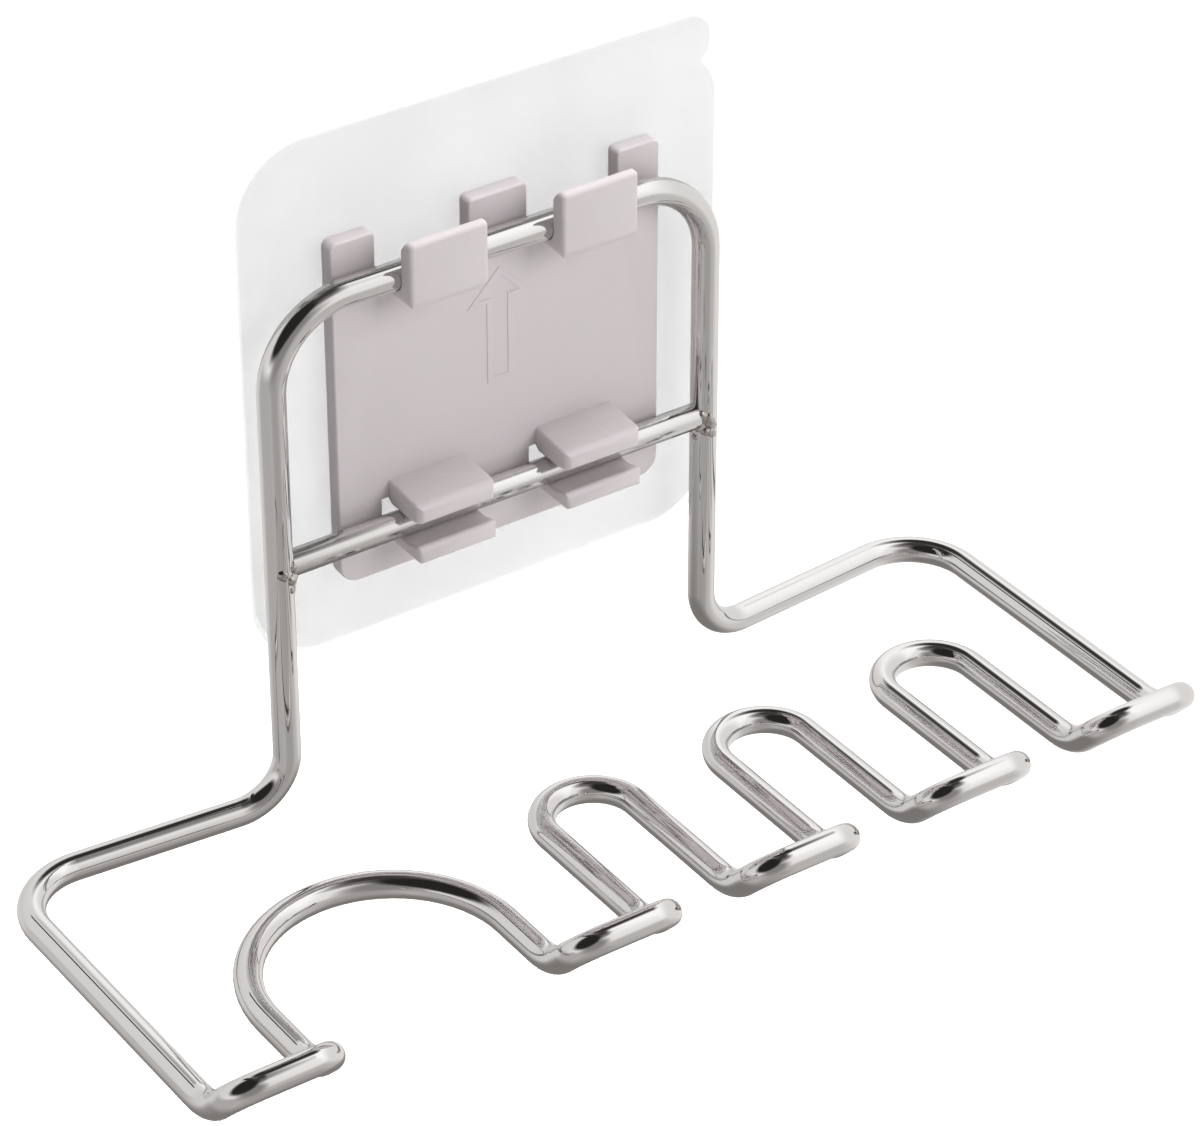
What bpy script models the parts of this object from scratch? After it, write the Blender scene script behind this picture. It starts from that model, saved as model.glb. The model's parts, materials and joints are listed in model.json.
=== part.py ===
"""Wall-mounted toothbrush and cup holder: a bent wire rack on a stick-on clip plate.

Metres, +Z up, +X to the viewer's right, +Y into the wall. The origin is the middle of the
pad on the wall's face, so everything lies at y <= 0.
"""

import math

import bmesh
import bpy
from mathutils import Matrix, Vector

# Wire rack
WIRE_DIAMETER = 0.004
HANGER_SPACING = 0.071
HANGER_HEIGHT = 0.078
TOP_BEND_RADIUS = 0.012
LOWER_BEND_RADIUS = 0.008
BACK_BEND_RADIUS = 0.010
SHELF_DEPTH = 0.0525
LIP_WIDTH = 0.0155
CUP_GAP = 0.0337
CUP_DEPTH = 0.0303
SLOT_GAP = 0.0104
SLOT_DEPTH = 0.031
BRUSH_SLOTS = 3
TIP_LENGTH = 0.00975
TIP_ANGLE = math.radians(46)
FRONT_BEND_RADIUS = 0.0084
TIP_BEND_RADIUS = 0.0043
RACK_SIDE_SHIFT = -0.0025

# Cross bar and its two welds
BAR_DIAMETER = 0.0038
BAR_DROP = 0.0394
WELD_HALF_WIDTH = 0.0030
WELD_HALF_HEIGHT = 0.0036
WELD_DROP = 0.0008

# Clip plate
PLATE_THICKNESS = 0.0025
PLATE_CORNER_RADIUS = 0.003
PLATE_FOOT = 0.0047
LUG_RISE = 0.006
SIDE_LUG_WIDTH = 0.007
LUG_CORNER_RADIUS = 0.0012
LUG_EDGE_RADIUS = 0.0008
HOOK_WIDTH = 0.0125
HOOK_WALL = 0.0022
HOOK_RISE = 0.0066
HOOK_LEAD_IN = 0.0016
HOOK_TIP = 0.001
JAW_WIDTH = 0.0128
JAW_THICKNESS = 0.0026
JAW_EDGE_RADIUS = 0.0004
UPPER_JAW_REACH = 0.0079
UPPER_JAW_SLOPE = 0.0009
UPPER_NOSE_RISE = 0.0003
UPPER_NOSE_HEIGHT = 0.0024
UPPER_NOSE_RADIUS = 0.0011
UPPER_LEAD_IN = 0.0021
LOWER_JAW_REACH = 0.0083
LOWER_JAW_THICKNESS = 0.0019
LOWER_LEAD_IN = 0.0010
ARROW_LENGTH = 0.018
ARROW_HEAD_LENGTH = 0.0053
ARROW_HEAD_WIDTH = 0.0105
ARROW_SHAFT_WIDTH = 0.0042
ARROW_LINE_WIDTH = 0.0008
ARROW_RELIEF = 0.0003

# Stick-on pad
PAD_SIDE_MARGIN = 0.01265
PAD_END_MARGIN = 0.01375
PAD_CORNER_RADIUS = 0.0115
PLATE_BELOW_PAD_MIDDLE = 0.0018
LINER_THICKNESS = 0.0002
ADHESIVE_THICKNESS = 0.0006
ADHESIVE_INSET = 0.0009
FILM_THICKNESS = 0.0004
TAB_HEIGHT = 0.008
TAB_NOTCH_DEPTH = 0.0021
TAB_INSET = 0.0009
TAB_TIP_RADIUS = 0.004

# Clearances
JOINT_GAP = 0.0003
SEAT_CLEARANCE = 0.0003
JAW_TOP_CLEARANCE = 0.0005
JAW_BOTTOM_CLEARANCE = 0.0003
BAR_TO_PLATE = 0.0005
HOOK_SIDE_PLAY = 0.00505
CORE_CLEARANCE = 0.0012
CORE_SILL = 0.0005

# Modelling
ARC_STEP = math.radians(15)
OVERLAP = 0.0008
CUT_MARGIN = 0.002
MERGE_DISTANCE = 0.000001
SHARP_ANGLE = math.radians(35)
ROUND_SIDES = 24
WIRE_BEVEL_RESOLUTION = 4

# Finishes: base colour, metallic, roughness and alpha
LINER_FINISH = ((0.86, 0.86, 0.85), 0.0, 0.45, 0.75)
ADHESIVE_FINISH = ((0.84, 0.85, 0.85), 0.0, 0.25, 0.5)
FILM_FINISH = ((0.80, 0.80, 0.80), 0.0, 0.30, 0.6)
PLATE_FINISH = ((0.62, 0.57, 0.58), 0.0, 0.5, 1.0)
WIRE_FINISH = ((0.80, 0.80, 0.80), 1.0, 0.12, 1.0)
BAR_FINISH = ((0.82, 0.82, 0.81), 1.0, 0.18, 1.0)
WELD_FINISH = ((0.62, 0.62, 0.61), 1.0, 0.3, 1.0)

# Places worked out from the sizes above, relative to the top bar's centre line
WIRE_RADIUS = WIRE_DIAMETER / 2
BAR_RADIUS = BAR_DIAMETER / 2
SHELF_LEVEL = -HANGER_HEIGHT
LIP_COUNT = BRUSH_SLOTS + 2
SHELF_WIDTH = (
    LIP_COUNT * LIP_WIDTH
    + CUP_GAP + WIRE_DIAMETER
    + BRUSH_SLOTS * (SLOT_GAP + WIRE_DIAMETER)
)
SEAT_RADIUS = WIRE_RADIUS + SEAT_CLEARANCE
PLATE_FRONT = WIRE_RADIUS + BAR_TO_PLATE
HOOK_MIDDLE = HANGER_SPACING / 2 - TOP_BEND_RADIUS - HOOK_SIDE_PLAY - HOOK_WIDTH / 2
NOTCH_INNER = HOOK_MIDDLE - HOOK_WIDTH / 2 - CORE_CLEARANCE
NOTCH_OUTER = HOOK_MIDDLE + HOOK_WIDTH / 2 + CORE_CLEARANCE
PLATE_HALF_WIDTH = NOTCH_OUTER + SIDE_LUG_WIDTH
UPPER_JAW_FACE = BAR_RADIUS + JAW_TOP_CLEARANCE
LOWER_JAW_FACE = -(BAR_RADIUS + JAW_BOTTOM_CLEARANCE)
LOWER_JAW_UNDERSIDE = LOWER_JAW_FACE - LOWER_JAW_THICKNESS
PLATE_BOTTOM = -BAR_DROP + LOWER_JAW_UNDERSIDE - PLATE_FOOT
PLATE_MIDDLE = (LUG_RISE + PLATE_BOTTOM) / 2
PAD_HALF_WIDTH = PLATE_HALF_WIDTH + PAD_SIDE_MARGIN
PAD_HALF_HEIGHT = (LUG_RISE - PLATE_BOTTOM) / 2 + PAD_END_MARGIN

# Layers from the wall's face forwards, then the top bar's place in the world
ADHESIVE_BACK = -(LINER_THICKNESS + JOINT_GAP)
FILM_BACK = ADHESIVE_BACK - ADHESIVE_THICKNESS - JOINT_GAP
PLATE_BACK = FILM_BACK - FILM_THICKNESS - JOINT_GAP
TOP_BAR_Y = PLATE_BACK - PLATE_THICKNESS - PLATE_FRONT
TOP_BAR_Z = -PLATE_BELOW_PAD_MIDDLE - PLATE_MIDDLE
BACK_CORNER_Y = -TOP_BAR_Y - WIRE_RADIUS - JOINT_GAP


def clear_scene():
    for item in list(bpy.data.objects):
        bpy.data.objects.remove(item)


def new_collection(name):
    collection = bpy.data.collections.new(name)
    bpy.context.scene.collection.children.link(collection)
    return collection


def new_material(name, finish):
    colour, metallic, roughness, alpha = finish
    material = bpy.data.materials.new(name)
    material.use_nodes = True
    shader = material.node_tree.nodes["Principled BSDF"]
    shader.inputs["Base Color"].default_value = (*colour, 1.0)
    shader.inputs["Metallic"].default_value = metallic
    shader.inputs["Roughness"].default_value = roughness
    shader.inputs["Alpha"].default_value = alpha
    return material


def rounded_path(corners):
    """Round each (point, radius) corner of a closed path; neighbouring bends share their run."""
    count = len(corners)
    points = [Vector(point) for point, radius in corners]
    runs = [(points[(i + 1) % count] - points[i]).length for i in range(count)]
    half_turns = []
    wanted = []
    for i, (point, radius) in enumerate(corners):
        before = points[i] - points[i - 1]
        after = points[(i + 1) % count] - points[i]
        half_turn = before.angle(after) / 2
        half_turns.append(half_turn)
        wanted.append(radius * math.tan(half_turn))

    path = []
    for i in range(count):
        tangent = wanted[i]
        for run, other in ((runs[i - 1], wanted[i - 1]), (runs[i], wanted[(i + 1) % count])):
            if wanted[i] + other > run:
                tangent = min(tangent, wanted[i] * run / (wanted[i] + other))
        path += corner_arc(points[i - 1], points[i], points[(i + 1) % count], tangent, half_turns[i])
    return [
        point for i, point in enumerate(path)
        if (point - path[i - 1]).length > MERGE_DISTANCE
    ]


def corner_arc(before, corner, after, tangent, half_turn):
    """Points of the arc that rounds one corner, from one tangent point to the other."""
    if tangent <= MERGE_DISTANCE or half_turn <= MERGE_DISTANCE:
        return [corner]
    back = (before - corner).normalized()
    ahead = (after - corner).normalized()
    start = corner + back * tangent
    centre = corner + (back + ahead).normalized() * (tangent / math.sin(half_turn))
    spoke = start - centre
    side = -back * spoke.length
    steps = max(1, math.ceil(2 * half_turn / ARC_STEP))
    angles = [2 * half_turn * step / steps for step in range(steps + 1)]
    return [centre + spoke * math.cos(angle) + side * math.sin(angle) for angle in angles]


def inset_loop(points, distance):
    """A flat counter-clockwise loop moved inwards by the distance, with mitred corners."""
    inner = []
    for i, point in enumerate(points):
        before = (point - points[i - 1]).normalized()
        after = (points[(i + 1) % len(points)] - point).normalized()
        normal_before = Vector((-before.y, before.x, 0))
        normal_after = Vector((-after.y, after.x, 0))
        mitre = (normal_before + normal_after).normalized()
        inner.append(point + mitre * (distance / mitre.dot(normal_before)))
    return inner


def add_poly_spline(curve, points):
    spline = curve.splines.new("POLY")
    spline.points.add(len(points) - 1)
    for spline_point, point in zip(spline.points, points):
        spline_point.co = (*point, 1.0)
    spline.use_cyclic_u = True


def flat_mesh(name, loops, thickness):
    """A closed slab: the filled outline in the XY plane, half the thickness to each side."""
    curve = bpy.data.curves.new(name, "CURVE")
    curve.dimensions = "2D"
    curve.fill_mode = "BOTH"
    curve.extrude = thickness / 2
    for loop in loops:
        add_poly_spline(curve, loop)
    outline = bpy.data.objects.new(name, curve)
    bpy.context.scene.collection.objects.link(outline)
    evaluated = outline.evaluated_get(bpy.context.evaluated_depsgraph_get())
    mesh = bpy.data.meshes.new_from_object(evaluated)
    bpy.data.objects.remove(outline)
    shell = bmesh.new()
    shell.from_mesh(mesh)
    bmesh.ops.remove_doubles(shell, verts=shell.verts, dist=MERGE_DISTANCE)
    bmesh.ops.recalc_face_normals(shell, faces=shell.faces)
    shell.to_mesh(mesh)
    shell.free()
    return mesh


def front_slab(name, loops, back, thickness, collection):
    """A slab drawn as (x, z) on the wall, from its back face's y forwards by the thickness."""
    slab = bpy.data.objects.new(name, flat_mesh(name, loops, thickness))
    upright = Matrix.Rotation(math.pi / 2, 4, "X")
    slab.data.transform(Matrix.Translation((0, back - thickness / 2, 0)) @ upright)
    collection.objects.link(slab)
    return slab


def side_profile(name, corners, width, middle_x, collection):
    """A bar of constant section drawn as (y, z) from the side, centred on middle_x."""
    loop = rounded_path([((y, z, 0), radius) for y, z, radius in corners])
    section = bpy.data.objects.new(name, flat_mesh(name, [loop], width))
    turn = Matrix(((0, 0, 1, 0), (1, 0, 0, 0), (0, 1, 0, 0), (0, 0, 0, 1)))
    section.data.transform(Matrix.Translation((middle_x, 0, 0)) @ turn)
    collection.objects.link(section)
    return section


def box(name, low, high, collection):
    bpy.ops.mesh.primitive_cube_add()
    block = bpy.context.object
    block.name = name
    half_sizes = (Vector(high) - Vector(low)) / 2
    middle = (Vector(high) + Vector(low)) / 2
    block.data.transform(Matrix.Translation(middle) @ Matrix.Diagonal((*half_sizes, 1)))
    move_to(block, collection)
    return block


def rod(name, radius, length, middle, turn, collection):
    bpy.ops.mesh.primitive_cylinder_add(vertices=ROUND_SIDES, radius=radius, depth=length)
    cylinder = bpy.context.object
    cylinder.name = name
    cylinder.data.transform(Matrix.Translation(middle) @ turn)
    move_to(cylinder, collection)
    return cylinder


def move_to(item, collection):
    for owner in list(item.users_collection):
        owner.objects.unlink(item)
    collection.objects.link(item)


def combine(target, tool, operation):
    """Add or cut a helper solid, which stays hidden beside the finished piece."""
    modifier = target.modifiers.new(tool.name, "BOOLEAN")
    modifier.operation = operation
    modifier.solver = "EXACT"
    modifier.object = tool
    tool.hide_render = True
    tool.display_type = "WIRE"


def shade_round(item):
    item.data.shade_smooth()
    item.data.set_sharp_from_angle(angle=SHARP_ANGLE)


def pad_outline():
    """Rounded pad; its top right corner is a finger tab with a notch below it."""
    right, top = PAD_HALF_WIDTH, PAD_HALF_HEIGHT
    notch = top - TAB_HEIGHT
    tab_side = right - TAB_INSET
    return rounded_path([
        ((-right, -top, 0), PAD_CORNER_RADIUS),
        ((right, -top, 0), PAD_CORNER_RADIUS),
        ((right, notch - TAB_NOTCH_DEPTH, 0), PAD_CORNER_RADIUS),
        ((right - TAB_NOTCH_DEPTH, notch, 0), 0),
        ((tab_side, notch + TAB_NOTCH_DEPTH - TAB_INSET, 0), TAB_TIP_RADIUS),
        ((tab_side, top, 0), TAB_TIP_RADIUS),
        ((-right, top, 0), PAD_CORNER_RADIUS),
    ])


def build_pad(parts):
    outline = pad_outline()
    coated = inset_loop(outline, ADHESIVE_INSET)
    for name, loop, back, thickness, finish in (
        ("release_liner", outline, 0, LINER_THICKNESS, LINER_FINISH),
        ("adhesive_layer", coated, ADHESIVE_BACK, ADHESIVE_THICKNESS, ADHESIVE_FINISH),
        ("backing_film", outline, FILM_BACK, FILM_THICKNESS, FILM_FINISH),
    ):
        layer = front_slab(name, [loop], back, thickness, parts)
        layer.data.materials.append(new_material(name, finish))


def plate_outline():
    """Square plate with three lugs along its top and a notch behind each hook."""
    half = PLATE_HALF_WIDTH
    sill = CORE_SILL - SEAT_RADIUS
    edge = LUG_EDGE_RADIUS
    right_side = [
        (half, PLATE_BOTTOM, PLATE_CORNER_RADIUS),
        (half, LUG_RISE, LUG_CORNER_RADIUS),
        (NOTCH_OUTER, LUG_RISE, edge),
        (NOTCH_OUTER, sill, edge),
        (NOTCH_INNER, sill, edge),
        (NOTCH_INNER, LUG_RISE, edge),
    ]
    left_side = [(-x, z, radius) for x, z, radius in reversed(right_side)]
    return rounded_path([((x, TOP_BAR_Z + z, 0), radius) for x, z, radius in right_side + left_side])


def arrow_loops():
    """The two loops of an outlined arrow that points up, below and between the hooks."""
    tip = TOP_BAR_Z - SEAT_RADIUS - HOOK_WALL - CORE_CLEARANCE
    shoulder = tip - ARROW_HEAD_LENGTH
    foot = tip - ARROW_LENGTH
    half_shaft = ARROW_SHAFT_WIDTH / 2
    half_head = ARROW_HEAD_WIDTH / 2
    outer = [Vector((x, z, 0)) for x, z in (
        (-half_shaft, foot), (half_shaft, foot), (half_shaft, shoulder), (half_head, shoulder),
        (0, tip), (-half_head, shoulder), (-half_shaft, shoulder),
    )]
    return [outer, inset_loop(outer, ARROW_LINE_WIDTH)]


def hook_profile():
    """J section that cups the top bar from below and in front; flared open at the top."""
    outer = SEAT_RADIUS + HOOK_WALL
    root = PLATE_FRONT + OVERLAP
    return [
        (root, -outer, 0),
        (-outer, -outer, outer),
        (-outer, HOOK_RISE, 0),
        (-outer + HOOK_TIP, HOOK_RISE, 0),
        (-SEAT_RADIUS, HOOK_RISE - HOOK_LEAD_IN, 0),
        (-SEAT_RADIUS, -SEAT_RADIUS, SEAT_RADIUS),
        (root, -SEAT_RADIUS, 0),
    ]


def upper_jaw_profile():
    """Jaw over the cross bar: its top slopes down to a nose, whose underside leads the bar in."""
    root = PLATE_FRONT + OVERLAP
    nose = PLATE_FRONT - UPPER_JAW_REACH
    under = UPPER_JAW_FACE + UPPER_JAW_SLOPE
    nose_level = UPPER_JAW_FACE + UPPER_NOSE_RISE
    return [
        (root, under, 0),
        (root, under + JAW_THICKNESS, 0),
        (PLATE_FRONT, under + JAW_THICKNESS, 0),
        (nose, nose_level + UPPER_NOSE_HEIGHT, UPPER_NOSE_RADIUS),
        (nose, nose_level, UPPER_NOSE_RADIUS),
        (nose + UPPER_LEAD_IN, UPPER_JAW_FACE, JAW_EDGE_RADIUS),
        (BAR_RADIUS, UPPER_JAW_FACE, 0),
        (PLATE_FRONT, under, 0),
    ]


def lower_jaw_profile():
    """Shelf under the cross bar, rooted below the through slot, with a sloping front."""
    root = PLATE_FRONT + OVERLAP
    nose = PLATE_FRONT - LOWER_JAW_REACH
    root_top = LOWER_JAW_FACE - LOWER_JAW_THICKNESS / 2 - CORE_SILL / 2
    return [
        (root, LOWER_JAW_UNDERSIDE, 0),
        (root, root_top, 0),
        (PLATE_FRONT, root_top, 0),
        (PLATE_FRONT, LOWER_JAW_FACE, 0),
        (nose + LOWER_LEAD_IN, LOWER_JAW_FACE, JAW_EDGE_RADIUS),
        (nose, LOWER_JAW_UNDERSIDE, JAW_EDGE_RADIUS),
    ]


def shifted(profile, y, z):
    return [(point_y + y, point_z + z, radius) for point_y, point_z, radius in profile]


def build_clip_plate(parts, cutters):
    plate = front_slab("clip_plate", [plate_outline()], PLATE_BACK, PLATE_THICKNESS, parts)
    slot_top = UPPER_JAW_FACE + UPPER_JAW_SLOPE - CORE_SILL
    slot_bottom = LOWER_JAW_FACE - LOWER_JAW_THICKNESS / 2
    half_slot = JAW_WIDTH / 2 + CORE_CLEARANCE
    bar_z = TOP_BAR_Z - BAR_DROP
    front = PLATE_BACK - PLATE_THICKNESS
    for side, sign in (("left", -1), ("right", 1)):
        middle = sign * HOOK_MIDDLE
        slot = box(
            f"slot_{side}",
            (middle - half_slot, front - CUT_MARGIN, bar_z + slot_bottom),
            (middle + half_slot, PLATE_BACK + CUT_MARGIN, bar_z + slot_top),
            cutters,
        )
        combine(plate, slot, "DIFFERENCE")
        for name, profile, level, width in (
            ("hook", hook_profile(), TOP_BAR_Z, HOOK_WIDTH),
            ("upper_jaw", upper_jaw_profile(), bar_z, JAW_WIDTH),
            ("lower_jaw", lower_jaw_profile(), bar_z, JAW_WIDTH),
        ):
            section = shifted(profile, TOP_BAR_Y, level)
            grip = side_profile(f"{name}_{side}", section, width, middle, cutters)
            combine(plate, grip, "UNION")
    relief_back = front + ARROW_RELIEF
    arrow = front_slab("arrow", arrow_loops(), relief_back, 2 * ARROW_RELIEF, cutters)
    combine(plate, arrow, "UNION")
    plate.data.materials.append(new_material("clip_plate", PLATE_FINISH))


def rack_corners():
    """The rack's closed centre line: hanger, back arms, side arms and the row of lips."""
    hanger = HANGER_SPACING / 2
    shelf = SHELF_WIDTH / 2
    corners = [
        ((hanger, 0, 0), TOP_BEND_RADIUS),
        ((-hanger, 0, 0), TOP_BEND_RADIUS),
        ((-hanger, 0, SHELF_LEVEL), LOWER_BEND_RADIUS),
        ((-shelf, BACK_CORNER_Y, SHELF_LEVEL), BACK_BEND_RADIUS),
    ]
    tip_y = -SHELF_DEPTH - TIP_LENGTH * math.cos(TIP_ANGLE)
    tip_z = SHELF_LEVEL + TIP_LENGTH * math.sin(TIP_ANGLE)
    left = -shelf
    for lip in range(LIP_COUNT):
        right = left + LIP_WIDTH
        corners += [
            ((left, -SHELF_DEPTH, SHELF_LEVEL), FRONT_BEND_RADIUS),
            ((left, tip_y, tip_z), TIP_BEND_RADIUS),
            ((right, tip_y, tip_z), TIP_BEND_RADIUS),
            ((right, -SHELF_DEPTH, SHELF_LEVEL), FRONT_BEND_RADIUS),
        ]
        if lip == LIP_COUNT - 1:
            break
        gap, depth = (CUP_GAP, CUP_DEPTH) if lip == 0 else (SLOT_GAP, SLOT_DEPTH)
        pitch = gap + WIRE_DIAMETER
        left = right + pitch
        corners += [
            ((right, depth - SHELF_DEPTH, SHELF_LEVEL), pitch / 2),
            ((left, depth - SHELF_DEPTH, SHELF_LEVEL), pitch / 2),
        ]
    corners += [
        ((shelf, BACK_CORNER_Y, SHELF_LEVEL), BACK_BEND_RADIUS),
        ((hanger, 0, SHELF_LEVEL), LOWER_BEND_RADIUS),
    ]
    return corners


def build_rack_wire(parts, pivot):
    curve = bpy.data.curves.new("rack_wire", "CURVE")
    curve.dimensions = "3D"
    curve.bevel_depth = WIRE_RADIUS
    curve.bevel_resolution = WIRE_BEVEL_RESOLUTION
    curve.use_fill_caps = True
    add_poly_spline(curve, rounded_path(rack_corners()))
    curve.splines[0].use_smooth = True
    curve.materials.append(new_material("rack_wire", WIRE_FINISH))
    wire = bpy.data.objects.new("rack_wire", curve)
    parts.objects.link(wire)
    wire.parent = pivot


def build_cross_bar(parts, cutters, pivot):
    along_x = Matrix.Rotation(math.pi / 2, 4, "Y")
    level = (0, 0, -BAR_DROP)
    upright_face = HANGER_SPACING / 2 - WIRE_RADIUS
    length = 2 * (upright_face - JOINT_GAP)
    bar = rod("cross_bar", BAR_RADIUS, length, level, along_x, parts)
    bar.data.materials.append(new_material("cross_bar", BAR_FINISH))
    shade_round(bar)
    bar.parent = pivot

    bore_radius = BAR_RADIUS + JOINT_GAP
    bore = rod("bar_bore", bore_radius, 2 * upright_face + WIRE_RADIUS, level, along_x, cutters)
    bore.parent = pivot
    weld_metal = new_material("weld_bead", WELD_FINISH)
    for side, sign in (("left", -1), ("right", 1)):
        bpy.ops.mesh.primitive_uv_sphere_add(
            segments=ROUND_SIDES, ring_count=ROUND_SIDES // 2, radius=WELD_HALF_WIDTH
        )
        bead = bpy.context.object
        bead.name = f"weld_bead_{side}"
        stretch = Matrix.Diagonal((1, 1, WELD_HALF_HEIGHT / WELD_HALF_WIDTH, 1))
        half_facet = Matrix.Rotation(math.pi / ROUND_SIDES, 4, "Z")
        seat = (sign * upright_face, 0, -BAR_DROP - WELD_DROP)
        bead.data.transform(Matrix.Translation(seat) @ stretch @ half_facet)
        bead.data.materials.append(weld_metal)
        move_to(bead, parts)
        shade_round(bead)
        bead.parent = pivot
        upright = rod(
            f"upright_clearance_{side}", WIRE_RADIUS + JOINT_GAP, 2 * WELD_HALF_HEIGHT + CUT_MARGIN,
            (sign * HANGER_SPACING / 2, 0, seat[2]), Matrix.Identity(4), cutters,
        )
        upright.parent = pivot
        combine(bead, bore, "DIFFERENCE")
        combine(bead, upright, "DIFFERENCE")


def build():
    clear_scene()
    parts = new_collection("toothbrush_holder")
    cutters = new_collection("cutters")
    build_pad(parts)
    build_clip_plate(parts, cutters)

    # The rack swings about the top bar's centre line
    pivot = bpy.data.objects.new("rack_pivot", None)
    pivot.location = (RACK_SIDE_SHIFT, TOP_BAR_Y, TOP_BAR_Z)
    parts.objects.link(pivot)
    build_rack_wire(parts, pivot)
    build_cross_bar(parts, cutters, pivot)


build()
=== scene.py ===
"""Looks of the wall-mounted toothbrush holder, built around its fixed frame.

Metres, +Z up, +X to the viewer's right, +Y into the wall, as in the frame.
"""

import json
import math
from random import Random

import bpy
from mathutils import Matrix, Vector


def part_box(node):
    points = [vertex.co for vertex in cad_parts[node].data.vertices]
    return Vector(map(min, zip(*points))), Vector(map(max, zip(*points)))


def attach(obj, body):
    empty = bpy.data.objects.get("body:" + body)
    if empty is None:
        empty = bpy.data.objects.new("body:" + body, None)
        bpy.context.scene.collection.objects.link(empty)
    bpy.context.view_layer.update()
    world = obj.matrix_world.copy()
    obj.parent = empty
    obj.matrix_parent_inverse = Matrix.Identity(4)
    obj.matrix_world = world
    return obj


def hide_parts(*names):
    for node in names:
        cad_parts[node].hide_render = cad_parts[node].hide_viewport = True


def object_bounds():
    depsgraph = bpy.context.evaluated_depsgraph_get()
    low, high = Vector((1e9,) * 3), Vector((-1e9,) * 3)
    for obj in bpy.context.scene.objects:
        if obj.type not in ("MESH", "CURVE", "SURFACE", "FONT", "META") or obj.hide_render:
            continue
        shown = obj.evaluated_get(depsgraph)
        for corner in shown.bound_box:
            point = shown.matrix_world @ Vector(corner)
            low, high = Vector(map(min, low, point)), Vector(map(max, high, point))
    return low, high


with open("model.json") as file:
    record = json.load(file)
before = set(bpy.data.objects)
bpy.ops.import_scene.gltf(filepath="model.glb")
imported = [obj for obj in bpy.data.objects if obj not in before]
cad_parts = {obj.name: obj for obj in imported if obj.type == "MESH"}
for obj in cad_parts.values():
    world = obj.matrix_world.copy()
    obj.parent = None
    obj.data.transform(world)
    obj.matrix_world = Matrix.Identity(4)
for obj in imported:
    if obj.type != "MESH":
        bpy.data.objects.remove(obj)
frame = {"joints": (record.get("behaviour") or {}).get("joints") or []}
CAD_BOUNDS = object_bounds()

bl_info = {
    "name": "Toothbrush Holder",
    "version": (1, 0, 0),
    "blender": (4, 5, 0),
    "location": "View3D > Sidebar > Holder",
    "description": "Builds a stick-on wire toothbrush holder piece by piece",
    "category": "Add Mesh",
}

HINGE = Vector(frame["joints"][0]["pos_m"])
WIRE_LOW, WIRE_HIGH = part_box("rack_wire")
BAR_LOW, BAR_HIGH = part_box("cross_bar")
PLATE_LOW, PLATE_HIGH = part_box("clip_plate")
WALL_BODY = "wall_plate"
RACK_BODY = "rack"

MILLIMETRE = 0.001
MERGE_DISTANCE = 0.000001
ARC_STEP = math.radians(6)
SHARP_ANGLE = math.radians(40)
EDGE_SEGMENTS = 3
WIRE_SEGMENTS = 14
BAR_SIDES = 48
BAR_END_ROUNDING = 0.0003
VOXELS_PER_GRAIN = 9
MELT_PASSES = 8

# How deep the root of a hook or a jaw lies in the plate.
ROOT_DEPTH = 0.0008
# Thickness of the outlines that cut the hooks and jaws, and how far those stay off their faces.
CUT_DEPTH = 0.02
SKIM = 0.00002
# From the top bar's middle down to the lower edge of the notch behind a hook.
BEHIND_HOOK_SILL = 0.0018
# A hook's blank is this much wider than the hook, before its front outline is cut out of it.
HOOK_BLANK = 1.2
# A jaw's top is stippled where its normal points up at least this much.
UPWARD = 0.8

FLOOR_SIZE = 3.0
# Between these distances from its middle, in metres, the floor fades into the white backdrop:
# its glow, which adds no soft light, goes from the first to the second strength.
FLOOR_FADE = (0.6, 1.2)
FLOOR_GLOW = (0.45, 0.6)
CLIP_RANGE = 20
# Area lamps: name, azimuth, elevation, distance, size and watts.
LAMPS = (
    ("top", 120, 74, 1.1, 0.8, 13.0),
    ("front", 28, 26, 1.1, 0.7, 6.2),
)
FLAG_HEADING = (-160, 43)
FLAG_DISTANCE = 0.5
FLAG_SIZE = (0.07, 0.5, 0.001)
TENT_CLOTH = "#E6E5E4"
TENT_GLOW = 1.3
# Soft round patches on the studio tent, each over the ones before it: azimuth, elevation and
# two radii in degrees, within the first of which the colour is full, and the colour.
TENT_PATCHES = (
    (110, 10, 60, 85, "#FFFFFF"),
    (-150, 20, 25, 75, "#D4D3D2"),
    (0, -90, 78, 94, "#ABA9A8"),
    (90, -15, 35, 70, "#DAD9D8"),
    (-165, -22, 18, 45, "#CCCBCA"),
    (0, -38, 12, 55, "#B6B4B2"),
    (-15, -38, 8, 32, "#9E9B99"),
    (-120, -82, 20, 50, "#797674"),
    (-30, 15, 15, 45, "#848180"),
    (-8, 70, 8, 30, "#6C6967"),
    (-72, 44, 27, 43, "#262423"),
    (-100, 58, 16, 36, "#262423"),
    (150, 62, 15, 30, "#302E2D"),
    (0, 86, 6, 20, "#3A3836"),
)


def linear(code):
    """An sRGB hex colour such as #CDC6C8 as linear red, green, blue and alpha."""
    values = [int(code[i:i + 2], 16) / 255 for i in (1, 3, 5)]
    channels = [v / 12.92 if v <= 0.04045 else ((v + 0.055) / 1.055) ** 2.4 for v in values]
    return (*channels, 1.0)


def length_property(name, description, default):
    return bpy.props.FloatProperty(
        name=name, description=description, default=default, subtype="DISTANCE", unit="LENGTH", precision=5,
    )


def colour_property(name, description, code):
    return bpy.props.FloatVectorProperty(
        name=name, description=description, default=linear(code), size=4, subtype="COLOR", min=0, max=1,
    )


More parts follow.
